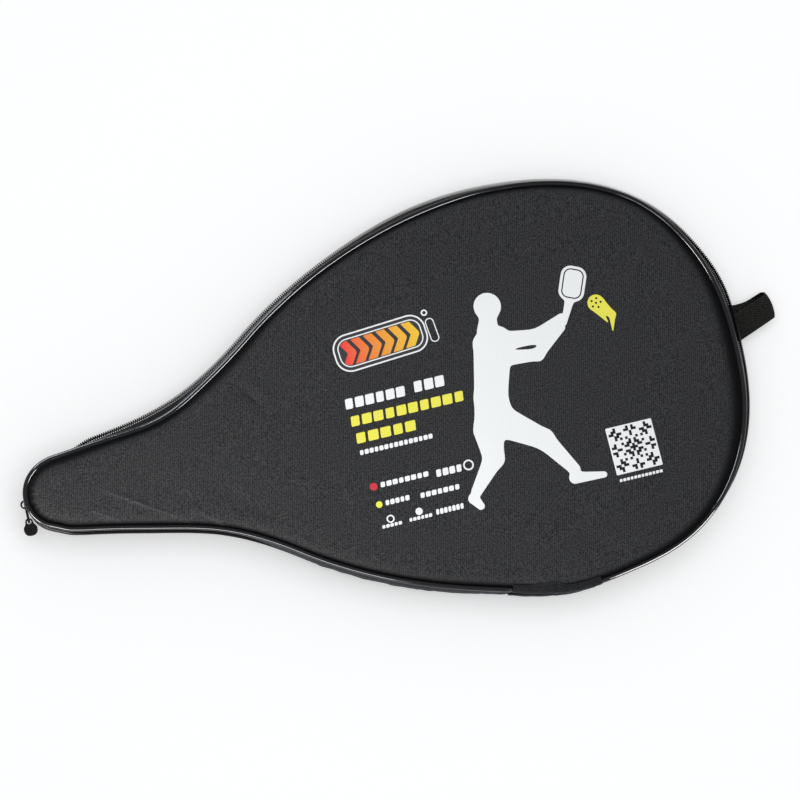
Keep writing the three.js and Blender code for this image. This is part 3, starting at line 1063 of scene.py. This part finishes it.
# How much closer the legs come than the fold's bend, and how far the lower and the upper
# leg bow outwards.
LOOP_CLOSING = 0.65
LOOP_BOWS = (0.15, 0.9)

# Half the webbing's width, and its thickness.
WEB_HALF = 7.5
WEB_THICKNESS = 1.05

# The webbing is thinner at its edges, cupped across its width, and uneven along it.
WEB_THINNING = 0.45
WEB_CUP = 0.18
WEB_UNEVENNESS = 0.108

# Painted light on the webbing: how much paler its painted highlight makes the upper edge, and what colour
# the painted shade leaves inside the fold.
EDGE_HIGHLIGHT = 0.9
FOLD_SHADE = 0.10


def direction(turn):
    return np.array([math.cos(turn), math.sin(turn), 0.0])


def loop_line(along):
    """Middle, width direction, normal and closeness to the fold.

    along runs from the lower leg's end, through 0 at the fold, to the upper leg's end.
    """
    ahead, sideways = direction(LOOP_TURN), direction(LOOP_TURN + math.pi / 2)
    fold = np.r_[LOOP_FOLD, joint("loop_flop")["pos_m"][2] / MM]
    fold = fold - (LOOP_BEND + WEB_THICKNESS / 2) * ahead
    near, far = LOOP_SLIDE
    lower_bow, upper_bow = LOOP_BOWS
    skewed = direction(LOOP_TURN + math.pi / 2 - LOOP_SKEW)
    run = abs(along) - LOOP_BEND * math.pi / 2
    if run <= 0:
        angle = along / LOOP_BEND
        normal = math.cos(angle) * ahead + np.array([0, 0, math.sin(angle)])
        slide = near * (0.5 - 0.5 * math.sin(angle))
        return fold + LOOP_BEND * normal + slide * sideways, skewed, normal, 1.0
    upper = along > 0
    side = 1.0 if upper else -1.0
    share = min(run / LOOP_REACH, 1.0)
    settle = float(smoothstep(share, 0.0, 0.45))
    bow = (upper_bow if upper else lower_bow) * math.sin(math.pi * share) ** 2
    height = LOOP_BEND - LOOP_CLOSING * settle + bow
    slide = 0.0 if upper else near + (far - near) * float(smoothstep(share, 0.25, 1.0))
    middle = fold - run * ahead + slide * sideways + np.array([0, 0, side * height])
    across = direction(LOOP_TURN + math.pi / 2 - LOOP_SKEW * (1 - settle))
    return middle, across, np.array([0, 0, side]), 1 - settle


def hang_loop():
    """Webbing folded back on itself; its legs leave the fold in different directions."""
    bend = LOOP_BEND * math.pi / 2
    leg = np.linspace(bend, bend + LOOP_REACH, 34)
    runs = np.r_[-leg[::-1], np.linspace(-bend, bend, 15)[1:-1], leg]
    columns = np.linspace(-WEB_HALF, WEB_HALF, 17)
    edge = 1 - WEB_THINNING * (np.abs(columns) / WEB_HALF) ** 6
    rings = []
    shades = []
    for along in runs:
        middle, across, normal, folded = loop_line(along)
        lift = WEB_CUP * (columns / WEB_HALF) ** 2 + WEB_UNEVENNESS * ripple(along, 6, 3)
        bulge = LOOP_BULGE * folded * (1 - (columns / WEB_HALF) ** 2)
        row = middle + columns[:, None] * across + lift[:, None] * normal
        row = row + bulge[:, None] * direction(LOOP_TURN)
        opening = LOOP_OPEN * folded * (0.5 + columns / (2 * WEB_HALF)) * abs(normal[2])
        row[:, 2] += np.sign(along) * opening
        half = WEB_THICKNESS / 2 * edge[:, None] * normal
        rings.append(np.vstack([row + half, (row - half)[::-1]]))
        # Painted highlight along the outer faces' upper edge; painted shade on the inner faces, deepest at
        # the fold.
        outer = 1 + EDGE_HIGHLIGHT * np.clip(columns / WEB_HALF, 0, 1) ** 12
        inner = np.full(len(columns), FOLD_SHADE + 0.8 * (1 - folded) ** 2)
        shades.append(np.r_[outer, inner])
    count = len(rings[0])
    side = np.r_[columns, columns[::-1]]
    uvs = np.stack([np.repeat(runs, count), np.tile(side, len(runs))], 1) * MM
    faces = grid_faces(len(runs), count)
    faces += [tuple(range(count)), tuple(range(count * (len(runs) - 1), count * len(runs)))]
    placed = to_row(np.vstack(rings))
    piece = make_object("loop_webbing", placed, faces, "webbing", uvs, crease=60)
    store_shade(piece, np.concatenate(shades))
    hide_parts("hang_loop")
    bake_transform(piece)


# ---------------- printed design

PRINT_LIFT = 0.10
INK_LAYER = 0.05
INK_THICKNESS = 0.05
FINE = 0.5


def ink_sheet(name, points, faces, material, layer):
    """A thin layer of ink on the front panel, from flat points in case millimetres."""
    points = np.array(points, float)
    heights = THICKNESS - outside(points, True) + PRINT_LIFT + layer * INK_LAYER
    placed = to_row(np.c_[points, heights])
    piece = make_object(name, placed, faces, material, closed=False)
    add_modifier(piece, "SOLIDIFY", thickness=INK_THICKNESS * MM, offset=-1)
    return finish_piece(piece, "lid", "woven_cloth")


def ink_shape(name, distance, low, high, material, layer=0, step=FINE):
    """Ink wherever distance(points) is negative, between the corners low and high.

    Each grid cell that the shape's edge crosses is clipped along that edge.
    """
    axes = [np.arange(a, b + step, step) for a, b in zip(low, high)]
    grid = np.stack(np.meshgrid(*axes, indexing="ij"), -1)
    value = distance(grid.reshape(-1, 2)).reshape(grid.shape[:2])
    lowest = np.minimum(value[:-1], value[1:])
    lowest = np.minimum(lowest[:, :-1], lowest[:, 1:])
    points, faces, numbers = [], [], {}

    def number(key, point):
        if key not in numbers:
            numbers[key] = len(points)
            points.append(point)
        return numbers[key]

    for i, j in np.argwhere(lowest < 0).tolist():
        corners = [(i, j), (i + 1, j), (i + 1, j + 1), (i, j + 1)]
        face = []
        for a, b in zip(corners, corners[1:] + corners[:1]):
            if value[a] < 0:
                face.append(number(a, grid[a]))
            if (value[a] < 0) != (value[b] < 0):
                share = value[a] / (value[a] - value[b])
                face.append(number((min(a, b), max(a, b)), grid[a] + share * (grid[b] - grid[a])))
        faces.append(face)
    return ink_sheet(name, points, faces, material, layer)


def spot(centre, radius):
    """Distance to a round spot."""
    return lambda p: np.hypot(*(p - centre).T) - radius


def limb(a, b, radius_a, radius_b):
    """Distance to a tapered, round-ended limb from a to b."""
    start = np.array(a, float)
    run = np.array(b, float) - start

    def distance(p):
        share = np.clip(((p - start) @ run) / (run @ run), 0, 1)
        return np.hypot(*(p - start - share[:, None] * run).T) - radius_a - (radius_b - radius_a) * share

    return distance


def block(centre, half, corner, turn=0.0, slant=0.0):
    """Distance to a rounded, turned and slanted block."""
    c, s = math.cos(turn), math.sin(turn)

    def distance(p):
        x, y = (p - centre).T
        x, y = c * x + s * y, c * y - s * x
        gap = np.abs([x - slant * y, y]) - (np.array(half)[:, None] - corner)
        return np.hypot(*np.maximum(gap, 0)) + np.minimum(gap.max(0), 0) - corner

    return distance


def union(*shapes, soft=0.0):
    """Distance to all the shapes together, melted into each other when soft."""
    def distance(p):
        values = np.array([shape(p) for shape in shapes])
        if soft:
            return -soft * np.log(np.exp(-values / soft).sum(0))
        return values.min(0)

    return distance


def grown(shape, by):
    return lambda p: shape(p) - by


def without(shape, hole):
    return lambda p: np.maximum(shape(p), -hole(p))


def outline(shape, width):
    """A line of this width just inside the shape's edge."""
    return without(shape, grown(shape, -width))


# Half widths of a row's blocks, as shares of its pitch, repeated; and how they lean.
DASH_HALVES = (0.36, 0.42, 0.42)
DASH_SLANT = 0.12


def dashes(name, start, end, bottom, height, count, material):
    """A row of plain blocks of two widths."""
    pitch = (end - start) / count
    blocks = []
    for k in range(count):
        half = pitch * DASH_HALVES[k % len(DASH_HALVES)]
        centre = (start + (k + 0.5) * pitch, bottom + height / 2)
        blocks.append(block(centre, (half, height / 2), min(0.7, height / 4), slant=DASH_SLANT))
    low, high = (start - 2, bottom - 1), (end + 2, bottom + height + 1)
    ink_shape(name, union(*blocks), low, high, material, step=min(FINE, height / 8))


HEAD = (70.2, 48.6)
HEAD_RADIUS = 8.0

# Neck, shoulders, trunk, hips, two arms of two parts, and two legs of two parts and a foot.
BODY = [
    ((69, 42), (67, 35), 4.9, 6.2),
    ((62.5, 28.5), (73, 30.5), 5.6, 5.2),
    ((67, 24), (59, -4), 11.0, 9.6),
    ((59, -4), (58, -17), 9.6, 12.0),
    ((73, 27), (94, 25), 5.6, 4.2),
    ((94, 25), (111, 32), 4.2, 3.0),
    ((70, 17), (92, 14.5), 4.6, 3.4),
    ((92, 14.5), (109, 27), 3.4, 2.6),
    ((64, -20), (83, -34), 9.0, 6.0),
    ((83, -34), (96, -55), 5.8, 3.4),
    ((95, -60), (112, -62), 3.4, 1.8),
    ((53, -22), (52, -38), 8.8, 6.0),
    ((52, -38), (38, -54), 5.8, 3.2),
    ((35, -58), (38, -63), 3.2, 2.2),
]


def player():
    """A plain pictogram: round head, tapered limbs, both arms holding a paddle up."""
    figure = union(spot(HEAD, HEAD_RADIUS), *(limb(*part) for part in BODY), soft=0.8)
    ink_shape("print_player", figure, (25, -70), (122, 62), "white")
    face = block((122.2, 50.4), (7.6, 10.4), 5.8, turn=-0.4)
    paddle = union(face, limb((119, 43), (111.5, 29), 2.8, 1.6), soft=0.7)
    ink_shape("print_paddle", paddle, (105, 24), (136, 66), "white", 1)
    ink_shape("print_paddle_line", outline(grown(face, -1.6), 0.7), (110, 36), (134, 66), "black", 2, 0.35)


def ball():
    """A yellow ball with round holes and a plain speed tail."""
    centre = np.array((132.8, 36.2))
    shape = union(
        spot(centre, 5.0),
        limb((135, 34), (140.4, 27.5), 4.0, 2.0),
        limb((140.4, 27.5), (138.4, 18.4), 2.0, 0.35),
        limb((133, 32), (136.6, 24), 2.4, 0.4),
        soft=0.5,
    )
    ink_shape("print_ball", shape, (125, 15), (146, 44), "yellow", step=0.4)
    holes = [spot(centre, 0.65)]
    for turn in np.arange(5) * 2 * math.pi / 5:
        holes.append(spot(centre + 2.8 * np.array((math.cos(turn), math.sin(turn))), 0.65))
    ink_shape("print_ball_holes", union(*holes), (127, 30), (139, 42), "black", 1, 0.25)


BADGE_MIDDLE = np.array((4.6, 41.8))
BADGE_TURN = 0.07
CHEVRON_PITCH = 7.6


def badge():
    """A rounded badge with a double edge and a plain row of chevrons."""
    low, high = (-30, 25), (42, 60)
    field = block(BADGE_MIDDLE, (27.8, 11.2), 9.0, turn=BADGE_TURN)
    ink_shape("print_badge_edge", outline(field, 0.9), low, high, "white", step=0.4)
    ink_shape("print_badge_rim", grown(field, -0.9), low, high, "grey")
    inner = grown(field, -2.7)
    ink_shape("print_badge_inner_edge", outline(inner, 0.7), low, high, "white", 1, 0.4)
    arms = []
    for x in np.arange(-18, 26, CHEVRON_PITCH):
        y = BADGE_MIDDLE[1] + BADGE_TURN * (x - BADGE_MIDDLE[0])
        arms.append(limb((x, y + 9), (x + 5.6, y), 2.3, 2.3))
        arms.append(limb((x + 5.6, y), (x, y - 9), 2.3, 2.3))
    clipped = without(union(*arms), lambda p: -(inner(p) + 1.2))
    ink_shape("print_badge_chevrons", clipped, low, high, "badge", 1)
    ring = outline(spot((33.4, 53.4), 1.9), 0.9)
    ink_shape("print_badge_dot", ring, (30, 50), (37, 57), "white", step=0.25)
    lozenge = block((35.6, 42.6), (2.6, 7.2), 2.4, turn=0.1)
    ink_shape("print_badge_lozenge", outline(lozenge, 0.6), (31, 34), (40, 52), "white", step=0.3)


TILE = {"centre": (133.0, -50.5), "half": 13.9, "border": 0.9, "cells": 17}


def code_tile():
    """A white tile with a plain mosaic that is the same from all four sides."""
    centre, half = np.array(TILE["centre"]), TILE["half"]
    tile = block(centre, (half, half), 0.3)
    ink_shape("print_tile", tile, centre - half - 1, centre + half + 1, "white")
    middle = TILE["cells"] // 2
    size = 2 * (half - TILE["border"]) / TILE["cells"]
    square = size / 2 * np.array([(-1, -1), (1, -1), (1, 1), (-1, 1)])
    points, faces = [], []
    for i in range(-middle, middle + 1):
        for j in range(-middle, middle + 1):
            near, far = sorted((abs(i), abs(j)))
            if (near * near + 2 * far + near * far) % 5 in (0, 2):
                faces.append(tuple(range(len(points), len(points) + 4)))
                points.extend(centre + size * np.array([i, j]) + square)
    ink_sheet("print_tile_mosaic", points, faces, "black", 1)
    dashes("print_tile_line", 119.6, 146.0, -68.6, 1.7, 12, "white")


# Rows of small blocks: start, end, bottom, height and number of blocks.
MARK_ROWS = [
    (-15.6, 13.4, -39.3, 3.0, 8),
    (17.0, 33.0, -41.0, 4.2, 4),
    (-15.2, -0.5, -50.0, 3.0, 5),
    (5.2, 29.1, -50.6, 3.0, 7),
    (-20.2, -8.2, -62.4, 1.9, 5),
    (-4.2, 9.7, -62.2, 2.0, 6),
    (11.8, 28.6, -62.0, 3.2, 7),
]

# Spots and rings: middle, radius, width of the line and colour.
MARK_SPOTS = [
    (-19.2, -37.8, 2.2, 2.2, "red"),
    (36.8, -38.4, 3.1, 0.9, "white"),
    (-18.6, -48.5, 1.9, 1.9, "yellow"),
    (-14.2, -57.9, 2.3, 0.8, "white"),
    (2.7, -57.6, 2.1, 2.1, "white"),
]


def small_marks():
    for index, row in enumerate(MARK_ROWS):
        dashes(f"print_mark_{index}", *row, "white")
    for index, (x, y, radius, width, color) in enumerate(MARK_SPOTS):
        reach = radius + 1
        low, high = (x - reach, y - reach), (x + reach, y + reach)
        ring = outline(spot((x, y), radius), width)
        ink_shape(f"print_spot_{index}", ring, low, high, color, step=0.3)


def printed_design():
    player()
    ball()
    badge()
    dashes("print_line_white_a", -24.5, 12.0, 8.8, 6.0, 6, "white")
    dashes("print_line_white_b", 16.4, 35.6, 9.4, 6.3, 3, "white")
    dashes("print_line_yellow_upper", -23.8, 44.6, -1.6, 5.9, 10, "yellow")
    dashes("print_line_yellow_lower", -23.2, 13.4, -11.8, 6.0, 5, "yellow")
    dashes("print_line_thin", -22.6, 21.0, -18.6, 2.8, 15, "white")
    code_tile()
    small_marks()


# ---------------- stage

IMAGE_TURN = math.radians(14.04)
UP_PAGE = Vector((math.sin(IMAGE_TURN), math.cos(IMAGE_TURN), 0))
RIGHT_PAGE = Vector((math.cos(IMAGE_TURN), -math.sin(IMAGE_TURN), 0))

CAMERA_TARGET = (8.75, 8.36, 22.0)
CAMERA_DISTANCE = 1.4
LEAN_UP = math.radians(-8.27)
LEAN_RIGHT = math.radians(-5.09)
FIELD_WIDTH = 0.4627

# Lamps: place over the case and size in metres, power in watts and colour.
KEY = ((-0.40, -0.26, 0.28), (0.24, 0.24), 1.9, (1.0, 0.98, 0.95))
SKY = ((0.0, 0.0, 1.5), (1.6, 1.6), 9.8, (0.95, 0.97, 1.0))

# Lamps that light only the glossy piping, which mirrors them.
MIRRORED = {
    "left_panel": ((-0.34, 0.50, 0.36), (0.30, 0.26), 7.0, (0.85, 0.92, 1.0)),
    "right_panel": ((0.40, -0.50, 0.36), (0.36, 0.34), 20.0, (1.0, 1.0, 1.0)),
    "low_panel": ((-0.34, -0.50, 0.34), (0.34, 0.26), 7.0, (1.0, 1.0, 1.0)),
    "tip_panel": ((-0.68, -0.24, 0.36), (0.24, 0.24), 11.0, (1.0, 1.0, 1.0)),
}
GLOSSY = ("front_piping_tube",)


def studio_floor():
    bpy.ops.mesh.primitive_plane_add(size=12, location=(0, 0, 0))
    floor = bpy.context.object
    floor.name = "floor"
    paint = new_material("floor_paint", (0.94, 0.94, 0.94), 0.8, specular=0.1)
    shader_of(paint).inputs["Emission Color"].default_value = (1, 1, 1, 1)
    shader_of(paint).inputs["Emission Strength"].default_value = 0.32
    floor.data.materials.append(paint)
    return floor


def add_lamp(name, place, size, power, color, mirrored=True):
    light = bpy.data.lights.new(name, "AREA")
    light.shape = "RECTANGLE"
    light.size, light.size_y = size
    light.energy = power
    light.color = color
    lamp = bpy.data.objects.new(name, light)
    lamp.location = place
    lamp.rotation_euler = (-Vector(place)).to_track_quat("-Z", "Y").to_euler()
    lamp.visible_glossy = mirrored
    bpy.context.scene.collection.objects.link(lamp)
    return lamp


def studio_lights(floor):
    """A near key at the handle's side and a broad sky; the key skips the floor."""
    world = bpy.data.worlds.new("studio")
    world.use_nodes = True
    background = world.node_tree.nodes["Background"]
    background.inputs["Color"].default_value = (1, 1, 1, 1)
    background.inputs["Strength"].default_value = 0.42
    bpy.context.scene.world = world
    key = add_lamp("key", *KEY)
    add_lamp("sky", *SKY, mirrored=False)
    unlit = bpy.data.collections.new("not_lit_by_key")
    unlit.objects.link(floor)
    unlit.collection_objects[0].light_linking.link_state = "EXCLUDE"
    key.light_linking.receiver_collection = unlit
    glossy = bpy.data.collections.new("glossy_pieces")
    for name in GLOSSY:
        glossy.objects.link(bpy.data.objects[name])
    for name, values in MIRRORED.items():
        add_lamp(name, *values).light_linking.receiver_collection = glossy


def camera():
    data = bpy.data.cameras.new("camera")
    data.sensor_width = 36
    data.lens = data.sensor_width * CAMERA_DISTANCE / FIELD_WIDTH
    made = bpy.data.objects.new("camera", data)
    bpy.context.scene.collection.objects.link(made)
    away = Vector((0, 0, 1)) + math.tan(LEAN_UP) * UP_PAGE + math.tan(LEAN_RIGHT) * RIGHT_PAGE
    away.normalize()
    up = (UP_PAGE - UP_PAGE.dot(away) * away).normalized()
    right = up.cross(away)
    place = Vector(to_row(CAMERA_TARGET)) + CAMERA_DISTANCE * away
    turned = Matrix((right, up, away)).transposed().to_4x4()
    made.matrix_world = Matrix.Translation(place) @ turned
    bpy.context.scene.camera = made


panel_skins()
foam_pads()
linings()
pipings()
bindings()
zip_tapes()
zip_coils()
hinge_covers()
hinge_gusset()
moulded_pieces()
bottom_stop()
hang_loop()
printed_design()
studio_lights(studio_floor())
camera()
bpy.context.scene.view_settings.view_transform = "Standard"
